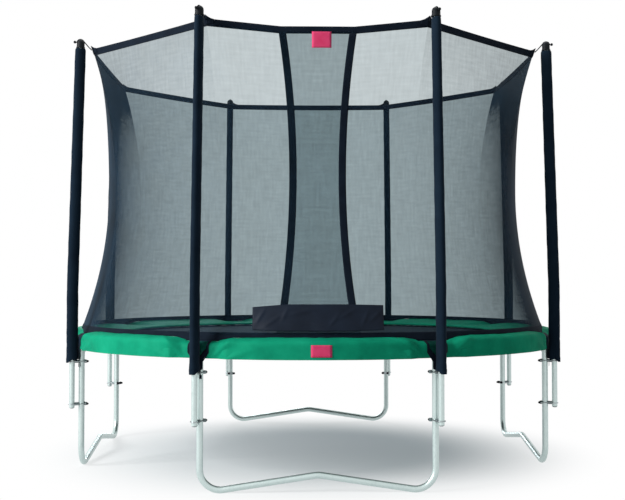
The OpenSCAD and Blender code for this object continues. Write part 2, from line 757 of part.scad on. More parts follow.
// Places along the top hem over the entrance
gate_u = gate_top/(net_top_r*sin(leg_half_angle));
gate_hem = concat(
    spread(-1, -gate_u, 4), spread(-gate_u/2, gate_u, 3), [for (k = [1:3]) gate_u + (1 - gate_u)*k/4]);

module net_top_hem() {
    color("#1c2630") stack([for (i = [0:7])
        let(us = i == 0 ? gate_hem : [-1, -0.6, -0.2, 0.2, 0.6])
        for (u = us) hem_section(i, u, net_high(i == 0, u) - hem_h, net_high(i == 0, u))], closed = true);
}

module net_bottom_hem() {
    color("#1c2630") stack([for (i = [0:7])
        let(near = [for (s = pad_steps) 1 - s/side_half(i)],
            us = concat(-near, [0], [for (k = [last_step:-1:1]) near[k]]))
        for (u = us) hem_section(i, u, net_low(side_half(i), u), panel_z - facing)], closed = true);
}

// ---- entrance flap ----

// Soft waves across the flap, deepest at its lower edge
function flap_wave(x, v) = (1 - v)*(3*sin(x*1.15) + 1.6*sin(x*2.3 + 140*v));

// The flap follows the net, swings out a little lower down and is cut away at its four corners
module entrance_flap() {
    level = flap_w/2 - flap_end;
    color("#10161f") cloth([for (v = spread(0, 1, 4)) [for (x = spread(-flap_w/2, flap_w/2, 24))
        let(fade = max(0, abs(x) - level)/flap_end, top = flap_top - flap_drop*fade,
            bottom = flap_bottom + flap_rise*fade*fade, z = bottom + (top - bottom)*v,
            p = net_point(leg_half_angle, x/(net_r(z)*sin(leg_half_angle)), z))
        [x, p.y - flap_wave(x, v) - flap_swing*(1 - v), z]]], flap_at, flap_t);
}

// ---- nodes ----

for (q = [0:3]) {
    leg_base(q);
    leg_uprights(q);
}
for (i = [0:7]) {
    ring_segment(i);
    pole(i);
    pole_sleeve(i);
}
for (i = [1:7]) {
    net_panel(i);
}
frame_screws();
u_bolts();
clamp_saddles();
clamp_plates();
clamp_nuts();
nut_caps();
pole_plugs();
pole_caps();
cap_elastics();
elastic_balls();
springs();
mat();
mat_rings();
pad();
pad_yokes();
net_top_hem();
net_bottom_hem();
entrance_panel_left();
entrance_panel_right();
entrance_bands();
entrance_flap();
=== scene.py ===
import math

import bpy
import numpy as np
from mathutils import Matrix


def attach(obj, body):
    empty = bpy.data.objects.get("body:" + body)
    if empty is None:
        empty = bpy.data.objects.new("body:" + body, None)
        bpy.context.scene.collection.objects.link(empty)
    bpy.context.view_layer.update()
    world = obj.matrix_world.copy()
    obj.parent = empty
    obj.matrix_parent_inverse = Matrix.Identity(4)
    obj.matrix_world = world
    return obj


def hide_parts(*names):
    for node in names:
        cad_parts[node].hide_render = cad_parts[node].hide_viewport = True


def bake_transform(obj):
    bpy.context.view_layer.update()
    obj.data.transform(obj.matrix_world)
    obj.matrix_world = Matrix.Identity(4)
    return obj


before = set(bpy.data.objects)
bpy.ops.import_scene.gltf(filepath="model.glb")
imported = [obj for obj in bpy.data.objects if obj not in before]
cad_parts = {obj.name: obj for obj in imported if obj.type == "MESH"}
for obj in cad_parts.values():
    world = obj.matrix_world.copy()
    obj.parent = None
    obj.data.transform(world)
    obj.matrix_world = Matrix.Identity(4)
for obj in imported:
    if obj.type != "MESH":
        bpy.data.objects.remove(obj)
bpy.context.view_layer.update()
print("frame loaded:", len(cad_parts), "nodes")

scene = bpy.context.scene
scene.view_settings.view_transform = "Standard"


# camera
cameraValues = {
    "position": (-0.1592, -7.2882, 1.1846),  # metres, a little left of the entrance and below mid height
    "tiltUp": 1.7507,  # degrees
    "turnRight": 1.269,
    "lens": 59.184,  # mm on a 36 mm sensor
}


def makeCamera(values):
    data = bpy.data.cameras.new("camera")
    data.lens = values["lens"]
    data.sensor_width = 36
    data.clip_start, data.clip_end = 0.1, 80
    camera = bpy.data.objects.new("camera", data)
    camera.location = values["position"]
    camera.rotation_euler = (math.radians(90 + values["tiltUp"]), 0, math.radians(-values["turnRight"]))
    scene.collection.objects.link(camera)
    scene.camera = camera


makeCamera(cameraValues)
print("camera placed")


# material helpers
def linearColour(hexValue):
    # sRGB hex to the linear colour that shaders use
    channels = [int(hexValue[i:i + 2], 16) / 255 for i in (1, 3, 5)]
    return [c / 12.92 if c <= 0.04045 else ((c + 0.055) / 1.055) ** 2.4 for c in channels] + [1]


def addNode(tree, kind, values=None, links=None):
    # one shader node, its settings by name, and what feeds its inputs
    node = tree.nodes.new("ShaderNode" + kind)
    for key, value in (values or {}).items():
        if isinstance(key, str) and hasattr(node, key):
            setattr(node, key, value)
        else:
            node.inputs[key].default_value = value
    for key, socket in (links or {}).items():
        tree.links.new(socket, node.inputs[key])
    return node


def addMath(tree, operation, *operands, clamp=False):
    # a Math node; each operand is a number or another node's output
    values, links = {"operation": operation, "use_clamp": clamp}, {}
    for place, operand in enumerate(operands):
        if isinstance(operand, (int, float)):
            values[place] = operand
        else:
            links[place] = operand
    return addNode(tree, "Math", values, links).outputs[0]


def addNoise(tree, place, scale, detail=2.0, roughness=0.5, distortion=0.0):
    values = {"Scale": scale, "Detail": detail, "Roughness": roughness, "Distortion": distortion}
    return addNode(tree, "TexNoise", values, {"Vector": place}).outputs


def addRamp(tree, factor, stops):
    # a colour ramp with stops given as pairs of position and hex colour
    ramp = addNode(tree, "ValToRGB", None, {"Fac": factor})
    elements = ramp.color_ramp.elements
    while len(elements) < len(stops):
        elements.new(0.5)
    for element, (position, colour) in zip(elements, stops):
        element.position = position
        element.color = linearColour(colour)
    return ramp.outputs["Color"]


def addSpan(tree, value, low, high):
    # maps 0 to 1 onto low to high
    return addNode(tree, "MapRange", {"To Min": low, "To Max": high}, {"Value": value}).outputs["Result"]


def addBump(tree, height, strength, distance, under=None):
    links = {"Height": height}
    if under is not None:
        links["Normal"] = under
    return addNode(tree, "Bump", {"Strength": strength, "Distance": distance}, links).outputs["Normal"]


def addWaves(tree, vector, spacings):
    # sine waves along X and along Y, with the given spacings
    split = addNode(tree, "SeparateXYZ", None, {0: vector})
    return [addMath(tree, "SINE", addMath(tree, "MULTIPLY", split.outputs[axis], 2 * math.pi / spacing))
            for axis, spacing in zip("XY", spacings)]


def startMaterial(name, values):
    # a Principled material with plain values, ready for its own nodes, and its texture coordinates
    material = bpy.data.materials.new(name)
    material.use_nodes = True
    tree = material.node_tree
    shader = tree.nodes["Principled BSDF"]
    for key, value in values.items():
        shader.inputs[key].default_value = value
    return material, tree, shader, addNode(tree, "TexCoord").outputs


def feedShader(tree, shader, sockets):
    for name, socket in sockets.items():
        tree.links.new(socket, shader.inputs[name])


def setSurface(tree, node):
    tree.links.new(node.outputs[0], tree.nodes["Material Output"].inputs["Surface"])


# materials
def hotDipGalvanisedSteel():
    # zinc on steel tube: bright, slightly cool, with faint spangle and soft marks
    values = {
        "spangle": 0.011, "marks": 0.004,  # metres
        "spangleShare": 0.35, "cloudShare": 0.6, "offset": 0.25, "cloudScale": 9.0,
        "light": "#cfdedc", "dark": "#bccecc", "roughness": (0.32, 0.40), "relief": (0.05, 0.0004),
    }
    material, tree, shader, place = startMaterial("hotDipGalvanisedSteel", {"Metallic": 0.75})
    spangle = addNode(tree, "TexVoronoi", {"Scale": 1 / values["spangle"]}, {"Vector": place["Object"]})
    cloud = addNoise(tree, place["Object"], values["cloudScale"], 4.0)["Fac"]
    blend = addMath(tree, "MULTIPLY_ADD", spangle.outputs["Color"], values["spangleShare"], values["offset"])
    total = addMath(tree, "MULTIPLY_ADD", cloud, values["cloudShare"], blend)
    marks = addNoise(tree, place["Object"], 1 / values["marks"], 3.0)["Fac"]
    feedShader(tree, shader, {
        "Base Color": addRamp(tree, total, [(0.25, values["dark"]), (0.75, values["light"])]),
        "Roughness": addSpan(tree, total, *values["roughness"]),
        "Normal": addBump(tree, marks, *values["relief"])})
    return material


def zincPlatedSteel():
    # electroplated fasteners, rings and wire: even grey metal with a light haze
    values = {
        "grain": 0.002, "hazeScale": 30.0, "light": "#bcc3c5", "dark": "#8d9699", "relief": (0.2, 0.0002)}
    material, tree, shader, place = startMaterial("zincPlatedSteel", {"Metallic": 1.0, "Roughness": 0.34})
    grain = addNoise(tree, place["Object"], 1 / values["grain"], 4.0)["Fac"]
    haze = addNoise(tree, place["Object"], values["hazeScale"])["Fac"]
    feedShader(tree, shader, {
        "Base Color": addRamp(tree, haze, [(0.35, values["dark"]), (0.7, values["light"])]),
        "Normal": addBump(tree, grain, *values["relief"])})
    return material


def wovenCloth(name, threads, colours, surface, relief, cloudScale):
    # plain weave on the UV map, which is in metres: threads is the spacing (along, across), and surface
    # gives as many of these inputs as the cloth sets
    inputs = ("Roughness", "Specular IOR Level", "Sheen Weight", "Sheen Roughness")
    values = {"weaveShare": 0.28, "cloudShare": 1.1, "offset": -0.2, "depth": 0.0006}
    material, tree, shader, place = startMaterial(name, dict(zip(inputs, surface)))
    weave = addMath(tree, "MULTIPLY", *addWaves(tree, place["UV"], threads))
    height = addMath(tree, "MULTIPLY_ADD", weave, 0.5, 0.5)
    cloud = addNoise(tree, place["Object"], cloudScale, 5.0, 0.6)["Fac"]
    tone = addMath(tree, "MULTIPLY_ADD", height, values["weaveShare"],
                   addMath(tree, "MULTIPLY_ADD", cloud, values["cloudShare"], values["offset"]))
    feedShader(tree, shader, {
        "Base Color": addRamp(tree, tone, [(0.1, colours[0]), (0.9, colours[1])]),
        "Normal": addBump(tree, height, relief, values["depth"])})
    return material


def knittedPolyethyleneNet():
    # dark knitted mesh: open holes between round threads, which hide more the more they are seen edge on
    values = {
        "share": 0.225,  # part of each direction that its threads cover
        "edgeOn": (0.97, 0.03),  # how soon the threads close up, and the least slant that is reckoned with
        "spacing": 0.006,  # metres; the real holes are 3 mm, drawn twice as coarse to show
        "mesh": 0.10, "slubs": 0.20, "crossSlubs": 0.17,  # how much the share changes
        "slubWide": 0.018, "slubLong": 0.13, "wander": 0.006,  # metres
        "driftScale": 9.0, "cloudScale": 3.0,
        "passed": (0.885, 0.98, 1.0, 1), "light": "#1f3242", "dark": "#14212b",
    }
    material, tree, shader, place = startMaterial("knittedPolyethyleneNet", {
        "Roughness": 0.7, "Specular IOR Level": 0.05})
    uv = place["UV"]
    middle = addNode(tree, "VectorMath", {"operation": "SUBTRACT", 1: (0.5, 0.5, 0.5)},
                     {0: addNoise(tree, uv, values["driftScale"])["Color"]})
    warp = addNode(tree, "VectorMath", {"operation": "MULTIPLY_ADD", 1: (values["wander"],) * 3},
                   {0: middle.outputs[0], 2: uv})
    mesh = addMath(tree, "ADD", *addWaves(tree, warp.outputs[0], (values["spacing"],) * 2))
    total = addMath(tree, "MULTIPLY_ADD", mesh, values["mesh"] / 2, 1.0)
    wide, long = 1 / values["slubWide"], 1 / values["slubLong"]
    for across, along, depth in ((wide, long, values["slubs"]), (long, wide, values["crossSlubs"])):
        drawn = addNode(tree, "Mapping", {"Scale": (across, along, 1.0)}, {"Vector": uv})
        away = addMath(tree, "SUBTRACT", addNoise(tree, drawn.outputs[0], 1.0, 3.0)["Fac"], 0.5)
        total = addMath(tree, "MULTIPLY_ADD", away, 2 * depth, total)
    share = addMath(tree, "MULTIPLY", total, values["share"])
    facing = addNode(tree, "LayerWeight", {"Blend": 0.5}).outputs["Facing"]
    closing, least = values["edgeOn"]
    slant = addMath(tree, "MAXIMUM", addMath(tree, "SUBTRACT", closing, facing), least)
    sideways = addMath(tree, "SUBTRACT", 1.0, addMath(tree, "DIVIDE", share, slant), clamp=True)
    hole = addMath(tree, "MULTIPLY", sideways, addMath(tree, "SUBTRACT", 1.0, share))
    cloud = addNoise(tree, place["Object"], values["cloudScale"], 3.0)["Fac"]
    feedShader(tree, shader, {
        "Base Color": addRamp(tree, cloud, [(0.3, values["dark"]), (0.75, values["light"])])})
    through = addNode(tree, "BsdfTransparent", {"Color": values["passed"]})
    setSurface(tree, addNode(tree, "MixShader", None,
                             {0: hole, 1: shader.outputs[0], 2: through.outputs[0]}))
    return material


def coatedPvcTarpaulin():
    # PVC on polyester cloth: smooth, semi-gloss, with a faint pebble and soft puckers from the foam under it
    values = {
        "light": "#1caa82", "mid": "#109a74", "dark": "#0a8766", "roughness": (0.56, 0.68), "cloudScale": 5.0,
        "pebble": 0.0035, "pucker": 0.09,  # metres
        "pebbleRelief": (0.1, 0.0005), "puckerRelief": (0.35, 0.006),
    }
    material, tree, shader, place = startMaterial("coatedPvcTarpaulin", {
        "IOR": 1.5, "Specular IOR Level": 0.045})
    cloud = addNoise(tree, place["Object"], values["cloudScale"], 6.0, 0.62)["Fac"]
    pebble = addNode(tree, "TexVoronoi", {"Scale": 1 / values["pebble"]}, {"Vector": place["Object"]})
    pucker = addNoise(tree, place["Object"], 1 / values["pucker"], 3.0, distortion=0.6)["Fac"]
    soft = addBump(tree, pucker, *values["puckerRelief"])
    stops = [(0.3, values["dark"]), (0.52, values["mid"]), (0.8, values["light"])]
    feedShader(tree, shader, {
        "Base Color": addRamp(tree, cloud, stops),
        "Roughness": addSpan(tree, cloud, *values["roughness"]),
        "Normal": addBump(tree, pebble.outputs["Distance"], *values["pebbleRelief"], soft)})
    return material


def mouldedPlastic(name, light, dark, roughness, shine):
    # injection moulded plastic: even colour, fine spark-eroded grain
    values = {"grain": 0.0012, "cloudScale": 40.0, "relief": (0.25, 0.0002)}
    material, tree, shader, place = startMaterial(name, {
        "Roughness": roughness, "IOR": 1.49, "Specular IOR Level": shine})
    cloud = addNoise(tree, place["Object"], values["cloudScale"], 3.0)["Fac"]
    grain = addNoise(tree, place["Object"], 1 / values["grain"])["Fac"]
    feedShader(tree, shader, {
        "Base Color": addRamp(tree, cloud, [(0.35, dark), (0.7, light)]),
        "Normal": addBump(tree, grain, *values["relief"])})
    return material


# threads below are in metres; the real ones are 0.5 to 1 mm and are drawn two to four times as coarse
finishes = {
    "tube": hotDipGalvanisedSteel(),
    "zinc": zincPlatedSteel(),
    "sleeve": wovenCloth("wovenPolyesterCover", (0.0032, 0.0032), ("#0c1926", "#1b2b3a"),
                         (0.8, 0.06, 0.05, 0.4), 0.5, 5.0),
    "net": knittedPolyethyleneNet(),
    "webbing": wovenCloth("wovenPolypropyleneWebbing", (0.002, 0.004), ("#0d141f", "#1b2633"),
                          (0.8, 0.05, 0.03), 0.8, 12.0),
    "elastic": wovenCloth("braidedElasticCord", (0.0025, 0.0025), ("#0e1114", "#22272d"),
                          (0.8, 0.06, 0.03), 0.8, 20.0),
    "mat": wovenCloth("wovenPolypropyleneMat", (0.006, 0.006), ("#15202a", "#22303a"),
                      (0.75, 0.03, 0.04, 0.35), 0.45, 3.0),
    "pad": coatedPvcTarpaulin(),
    "flap": wovenCloth("coatedPolyesterFlap", (0.003, 0.003), ("#0c131e", "#1a2433"),
                       (0.5, 0.12), 0.25, 7.0),
    "blackPlastic": mouldedPlastic("mouldedPolypropyleneBlack", "#1a1f24", "#0e1216", 0.5, 0.12),
    "whitePlastic": mouldedPlastic("mouldedPolyethyleneWhite", "#dfe3e3", "#c2c8c9", 0.38, 0.5),
    "saddle": mouldedPlastic("mouldedNylonGrey", "#8b9697", "#6b7779", 0.45, 0.4),
    "patch": wovenCloth("wovenTwillPatch", (0.003, 0.003), ("#e23462", "#f6588a"),
                        (0.7, 0.1, 0.05), 0.4, 14.0),
}
print("materials made:", len(finishes))


# mesh helpers
def gridPart(grid, wrapAcross=False, wrapAlong=False):
    # quads over a grid of points, with a UV map in metres that follows the grid
    grid = np.asarray(grid, float)
    n, m = grid.shape[:2]
    wide = np.concatenate([grid, grid[:, :1]], 1) if wrapAcross else grid
    tall = np.concatenate([wide, wide[:1]], 0) if wrapAlong else wide
    u = np.mean([wayAlong(row) for row in tall], 0)
    v = np.mean([wayAlong(column) for column in tall.swapaxes(0, 1)], 0)
    faces, uvs = [], []
    for i in range(len(tall) - 1):
        for j in range(tall.shape[1] - 1):
            corners = [(i, j), (i, j + 1), (i + 1, j + 1), (i + 1, j)]
            faces.append([(p % n) * m + q % m for p, q in corners])
            uvs.append([(u[q], v[p]) for p, q in corners])
    return grid.reshape(-1, 3), faces, uvs


def capEnds(part, width):
    # closes both ends of a wrapped grid part, width points a row, with one many-sided face each
    points, faces, uvs = part
    for loop in (range(width - 1, -1, -1), range(len(points) - width, len(points))):
        faces.append(list(loop))
        uvs.append([(points[k][0], points[k][2]) for k in loop])
    return part


def turnPart(part, degrees):
    return turnZ(part[0], degrees), part[1], part[2]


def joinParts(name, parts):
    # one smooth mesh object from parts of points, faces and UV corners
    points, faces, uvs = [], [], []
    for part in parts:
        faces += [[k + len(points) for k in face] for face in part[1]]
        points += part[0].tolist()
        uvs += part[2]
    mesh = bpy.data.meshes.new(name)
    mesh.from_pydata(points, [], faces)
    layer = mesh.uv_layers.new(name="UVMap")
    layer.data.foreach_set("uv", np.array([c for f in uvs for uv in f for c in uv], np.float32))
    mesh.polygons.foreach_set("use_smooth", [True] * len(mesh.polygons))
    mesh.update()
    made = bpy.data.objects.new(name, mesh)
    scene.collection.objects.link(made)
    return made


def makePiece(name, parts, finish, replaced=(), body="frame", sharp=None):
    # one object with its material, body and the CAD nodes that it stands for
    piece = joinParts(name, parts)
    piece.data.materials.append(finishes[finish])
    if sharp:
        piece.data.set_sharp_from_angle(angle=math.radians(sharp))
    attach(piece, body)
    if replaced:
        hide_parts(*replaced)
    return piece


def unit(vectors):
    return vectors / np.linalg.norm(vectors, axis=-1, keepdims=True)


def wayAlong(line):
    # distance along a line from its start to each of its points
    return np.concatenate([[0], np.cumsum(np.linalg.norm(np.diff(line, axis=0), axis=1))])


def smoothLine(points, count):
    # Catmull-Rom line through the points, with evenly spaced samples
    p = np.asarray(points, float)
    p = np.concatenate([[2 * p[0] - p[1]], p, [2 * p[-1] - p[-2]]])
    fine = []
    for i in range(1, len(p) - 2):
        for t in np.linspace(0, 1, 24, endpoint=False):
            fine.append(0.5 * (2 * p[i] + (p[i + 1] - p[i - 1]) * t
                               + (2 * p[i - 1] - 5 * p[i] + 4 * p[i + 1] - p[i + 2]) * t * t
                               + (3 * p[i] - p[i - 1] - 3 * p[i + 1] + p[i + 2]) * t ** 3))
    fine = np.array(fine + [p[-2]])
    length = wayAlong(fine)
    want = np.linspace(0, length[-1], count)
    return np.stack([np.interp(want, length, values) for values in fine.T], 1)


def tubePart(path, radius, sides):
    # round tube along a path
    path = np.asarray(path, float)
    tangent = unit(np.gradient(path, axis=0))
    across = np.cross(tangent[0], [0, 0, 1] if abs(tangent[0][2]) < 0.9 else [1, 0, 0])
    rings = []
    for i, t in enumerate(tangent):
        across = unit(across - t * (across @ t))
        other = np.cross(t, across)
        a = np.linspace(0, 2 * math.pi, sides, endpoint=False)[:, None]
        rings.append(path[i] + radius * (np.cos(a) * across + np.sin(a) * other))
    return capEnds(gridPart(rings, wrapAcross=True), sides)


def strapPart(grid, thickness, wrapAlong=False):
    # flat strap over a grid of centre points, with softly rounded edges; rows run along the strap
    grid = np.asarray(grid, float)
    along = np.roll(grid, -1, 0) - np.roll(grid, 1, 0) if wrapAlong else np.gradient(grid, axis=0)
    across = np.gradient(grid, axis=1)
    normal = unit(np.cross(across, along))
    edge = np.ones(grid.shape[1])
    edge[0] = edge[-1] = 0.45  # share of the thickness at both edges
    shift = normal * (thickness / 2) * edge[None, :, None]
    rings = np.concatenate([grid + shift, (grid - shift)[:, ::-1]], 1)
    part = gridPart(rings, wrapAcross=True, wrapAlong=wrapAlong)
    return part if wrapAlong else capEnds(part, rings.shape[1])


def turnZ(points, degrees):
    # counter-clockwise as seen from above
    a = math.radians(degrees)
    spin = np.array([[math.cos(a), math.sin(a), 0], [-math.sin(a), math.cos(a), 0], [0, 0, 1]])
    return np.asarray(points, float) @ spin


def ramped(x, start, end):
    # smooth step from 0 at start to 1 at end
    t = np.clip((x - start) / (end - start), 0, 1)
    return t * t * (3 - 2 * t)


def ripple(x, seed, wave):
    # soft irregular wave, about -1 to 1, with the given main wavelength
    random = np.random.default_rng(seed)
    total = 0
    for k in range(4):
        total = total + np.sin(2 * math.pi * x / wave * 1.83 ** k * random.uniform(0.8, 1.2)
                               + random.uniform(0, 6.28)) / 1.7 ** k
    return total / 2


# shared sizes, as in the frame
layout = {
    "ringRadius": 1.630, "legHalfAngle": 24.0,
    "poleRadius": 1.6918, "kinkHeight": 1.150, "lean": 1.5, "poleTop": 2.704,
    "padCrest": 0.872, "padPull": 0.021, "pullReach": (0.086, 0.195), "skirtFace": 1.6530,
    "springHeight": 0.820,
}
poleAngles = [90 * q + s * layout["legHalfAngle"] for q in range(4) for s in (-1, 1)]


def poleAt(z):
    # radius of the pole's axis at a height: upright up to the kink, leaning in above it
    above = np.maximum(0, z - layout["kinkHeight"])
    return layout["poleRadius"] - above * math.tan(math.radians(layout["lean"]))


def gapToPole(degrees):
    # distance round the ring to the nearest pole, in metres
    d = np.abs((np.asarray(degrees)[..., None] - np.array(poleAngles) + 180) % 360 - 180).min(-1)
    return np.radians(d) * layout["ringRadius"]


def pullAt(distance):
    # how far the yokes pull the pad down: 1 at a pole, 0 away from it
    return 1 - ramped(distance, *layout["pullReach"])


# CAD pieces that keep their shape
def dressCadNodes():
    metal = ("frame_screws", "u_bolts", "clamp_plates", "clamp_nuts", "mat_rings", "springs")
    chosen = {"clamp_saddles": "saddle", "pole_plugs": "whitePlastic", **dict.fromkeys(metal, "zinc")}
    for name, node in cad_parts.items():
        finish = chosen.get(name, "blackPlastic")
        if name.startswith(("leg_", "ring_segment")) or name[:-1] == "pole_":
            finish = "tube"
        node.data.materials.clear()
        node.data.materials.append(finishes[finish])
        node.data.polygons.foreach_set("use_smooth", [True] * len(node.data.polygons))
        node.data.set_sharp_from_angle(angle=math.radians(32))


dressCadNodes()
print("CAD nodes dressed")


# pad over the springs
padShape = {
    "innerRadius": 1.290, "underside": 0.8313, "edgeHeight": 0.014, "skirtBottom": 0.755,
    "skirtThickness": 0.0022, "skirtTop": 0.80, "flare": 0.027, "steps": 1100, "sectionPoints": 54,
    "puffDepth": 0.0022, "puffWave": 0.42, "puffStart": (1.30, 1.42), "puffEnd": (1.62, 1.66),  # radii
    "swayDepth": 0.0022, "swayWave": 0.33, "swayStart": (0.84, 0.76),  # heights, downwards
    "pullPoint": (0.010, 0.700),  # way along the ring from a pole, and height, that the folds spread from
    "foldDepth": 0.0105, "foldCount": 17, "foldShift": 0.4, "foldPower": 0.8, "foldLift": 0.4,
    "foldGrow": (0.080, 0.13), "foldFade": (0.21, 0.42),  # distances from the pull point
    "foldClear": (0.080, 0.115), "foldStart": (1.52, 1.60),  # way from a pole, and radii
}


def padSection(k, shape):
    # radius and height from the inner edge over the crest to the skirt, for a pull k
    face, crest = layout["skirtFace"] + shape["flare"] * (1 - k), layout["padCrest"] - layout["padPull"] * k
    edge = shape["underside"] + shape["edgeHeight"]
    corners = [(shape["innerRadius"], shape["underside"]), (shape["innerRadius"] + 0.003, edge),
               (shape["innerRadius"] + 0.110, edge + 0.55 * (crest - edge)), (face - 0.135, crest - 0.002),
               (face - 0.072, crest), (face - 0.024, crest - 0.009), (face - 0.005, crest - 0.022),
               (face, crest - 0.040), (face, shape["skirtTop"]), (face, shape["skirtBottom"])]
    return smoothLine(corners, shape["sectionPoints"])


def padFolds(distance, line, shape):
    # folds that spread from the point where a yoke's strap pulls, by the way along the ring and up the pad
    down = wayAlong(line)
    up = down[-1] - down - (shape["pullPoint"][1] - shape["skirtBottom"])
    away = distance - shape["pullPoint"][0]
    reach = np.hypot(away, up)
    size = ramped(reach, *shape["foldGrow"]) * (1 - ramped(reach, *shape["foldFade"]))
    size = size * ramped(distance, *shape["foldClear"])
    ridge = np.abs(np.sin(0.5 * shape["foldCount"] * np.arctan2(up, away) + shape["foldShift"]))
    return shape["foldDepth"] * size * (shape["foldLift"] - ridge ** shape["foldPower"])


def makePad(shape):
    angles = np.linspace(0, 360, shape["steps"], endpoint=False)
    near, far = padSection(1.0, shape), padSection(0.0, shape)
    distance = gapToPole(angles)
    arc = np.radians(angles) * layout["ringRadius"]
    rings = []
    for a, d, k, s in zip(angles, distance, pullAt(distance), arc):
        line = near * k + far * (1 - k)
        slope = unit(np.gradient(line, axis=0))
        out = np.stack([-slope[:, 1], slope[:, 0]], 1)
        low = ramped(line[:, 1], *shape["swayStart"])
        crown = 1 - ramped(line[:, 0], *shape["puffEnd"])
        puff = shape["puffDepth"] * ripple(s, 3, shape["puffWave"]) * crown
        puff = puff * ramped(line[:, 0], *shape["puffStart"])
        sway = shape["swayDepth"] * ripple(s, 11, shape["swayWave"]) * low
        folds = padFolds(d, line, shape) * ramped(line[:, 0], *shape["foldStart"])
        line = line + out * (folds + puff)[:, None]
        line[:, 0] += sway * (1 - k)
        hem = [(line[-1, 0] - shape["skirtThickness"], line[-1, 1]),
               (line[-1, 0] - shape["skirtThickness"], shape["underside"] - 0.03),
               (line[-1, 0] - 0.02, shape["underside"] - 0.001), (1.50, shape["underside"] - 0.0005)]
        line = np.concatenate([line, hem])
        x, y = math.sin(math.radians(a)), -math.cos(math.radians(a))
        rings.append(np.stack([line[:, 0] * x, line[:, 0] * y, line[:, 1]], 1))
    parts = [gridPart(rings, wrapAcross=True, wrapAlong=True)]
    return makePiece("springPad", parts, "pad", ["pad"], sharp=50)


pad = makePad(padShape)
print("pad made")


# padded sleeves on the poles
sleeveShape = {
    "bottom": 0.668, "clampRoom": 0.689, "top": 2.686, "deep": 0.074, "wide": 0.051, "skirtWide": 0.0571,
    "around": 40, "lowRows": 12, "rows": 138, "lowRowsEnd": 0.76, "shoulder": 0.016,
    "squareness": (0.92, 0.96), "flareEnd": (0.694, 0.742), "tapered": 0.004, "taperTop": 2.668,
    "creaseDepth": 0.0009, "longCrease": 0.21, "shortCrease": 0.062, "bunched": (0.80, 0.12),
    "seamDepth": 0.0011, "seamAt": 0.62 * math.pi, "seamWidth": 0.07, "slack": 0.0006,
    "hemSweep": (-228, 48), "hemTop": 0.690, "hemThickness": 0.0022, "cornerRise": 0.018,
}


def makeSleeve(index, shape):
    seed = 40 + index
    heights = np.concatenate([
        np.linspace(shape["clampRoom"], shape["lowRowsEnd"], shape["lowRows"], endpoint=False),
        np.linspace(shape["lowRowsEnd"], shape["top"] - shape["shoulder"], shape["rows"])])
    around = np.linspace(0, 2 * math.pi, shape["around"], endpoint=False)
    oval = [np.sign(c) * np.abs(c) ** power
            for c, power in zip((np.cos(around), np.sin(around)), shape["squareness"])]
    rings = []
    for z in heights:
        wide = shape["wide"] + (shape["skirtWide"] - shape["wide"]) * (1 - ramped(z, *shape["flareEnd"]))
        taper = ramped(z, layout["kinkHeight"], shape["taperTop"])
        x = (wide - shape["tapered"] / 2 * taper) / 2 * oval[0]
        y = (shape["deep"] - shape["tapered"] * taper) / 2 * oval[1] - poleAt(z)
        ring = np.stack([x, y, np.full_like(x, z)], 1)
        long = ripple(z + 0.012 * np.sin(around), seed, shape["longCrease"])
        middle, spread = shape["bunched"]
        short = 0.8 * ripple(z - 0.02 * np.cos(around), seed + 9, shape["shortCrease"]) * np.exp(
            -((z - middle) / spread) ** 2)
        crease = shape["creaseDepth"] * (long + short)
        seam = -shape["seamDepth"] * np.exp(-((around - shape["seamAt"]) / shape["seamWidth"]) ** 2)
        away = unit(ring - [0, -poleAt(z), z])
        rings.append(ring + away * (crease - shape["slack"] + seam)[:, None])
    first, last = rings[0], rings[-1]
    middleLow, middleTop = first.mean(0), last.mean(0)
    for t in (0.35, 0.7, 0.92, 1.0):  # rounded shoulder
        ring = middleTop + (last - middleTop) * (1 - 0.2 * (1 - math.cos(t * math.pi / 2)))
        ring[:, 2] = last[0, 2] + shape["shoulder"] * math.sin(t * math.pi / 2)
        rings.append(ring)
    shoulder = rings[-1].mean(0)
    rings.append(shoulder + (rings[-1] - shoulder) * 0.62 + [0, 0, 0.0005])
    under = middleLow + (first - middleLow) * 0.93
    under[:, 2] = shape["clampRoom"] - 0.0015
    inner = middleLow + (first - middleLow) * 0.5
    inner[:, 2] = shape["clampRoom"] - 0.001
    body = gridPart([inner, under] + rings, wrapAcross=True)
    # hem that hangs over the clamp, open towards the leg
    sweep = np.radians(np.linspace(*shape["hemSweep"], 44))
    rows = []
    for z in np.linspace(shape["clampRoom"] + 0.006, shape["bottom"], 7):
        low = ramped(z, shape["hemTop"], shape["bottom"])
        lift = shape["cornerRise"] * ramped(np.abs(np.cos(sweep)), 0.62, 1.0) * low
        x = shape["skirtWide"] / 2 * np.cos(sweep) * (1 - 0.03 * low)
        y = -poleAt(z) + shape["deep"] / 2 * np.sin(sweep)
        rows.append(np.stack([x, y, z + lift], 1))
    hem = strapPart(rows, shape["hemThickness"])
    parts = [turnPart(part, poleAngles[index]) for part in (body, hem)]
    made = makePiece(f"paddedSleeve_{index + 1}", parts, "sleeve",
                     [f"pole_sleeve_{index + 1}"], sharp=70)


for index in range(8):
    makeSleeve(index, sleeveShape)
print("sleeves made")


# net
netShape = {
    "waistRadius": 1.418, "waistHeight": 1.790, "topRadius": 1.575, "topHeight": 2.690, "bottomRadius": 1.592,
    "hemHeight": 0.042, "hemDip": 0.043, "hemThickness": 0.0036, "lowHem": 0.025, "lowHemRise": 0.002,
    "sag": 0.004, "gateTop": 0.215, "gateWaist": 0.141, "bandWidth": 0.043, "bandThickness": 0.0022,
    "panelGap": 0.0038, "panelBlend": 0.12, "bandGap": 0.0059, "innerBandGap": 0.0018,
    "bandBottom": 0.913, "bandLap": 0.004,
    "hemLap": 0.012, "padPress": 0.0015, "gateSpan": (0.90, 2.60), "cutHeight": 1.84,
    "rows": 48, "columns": 30,
}


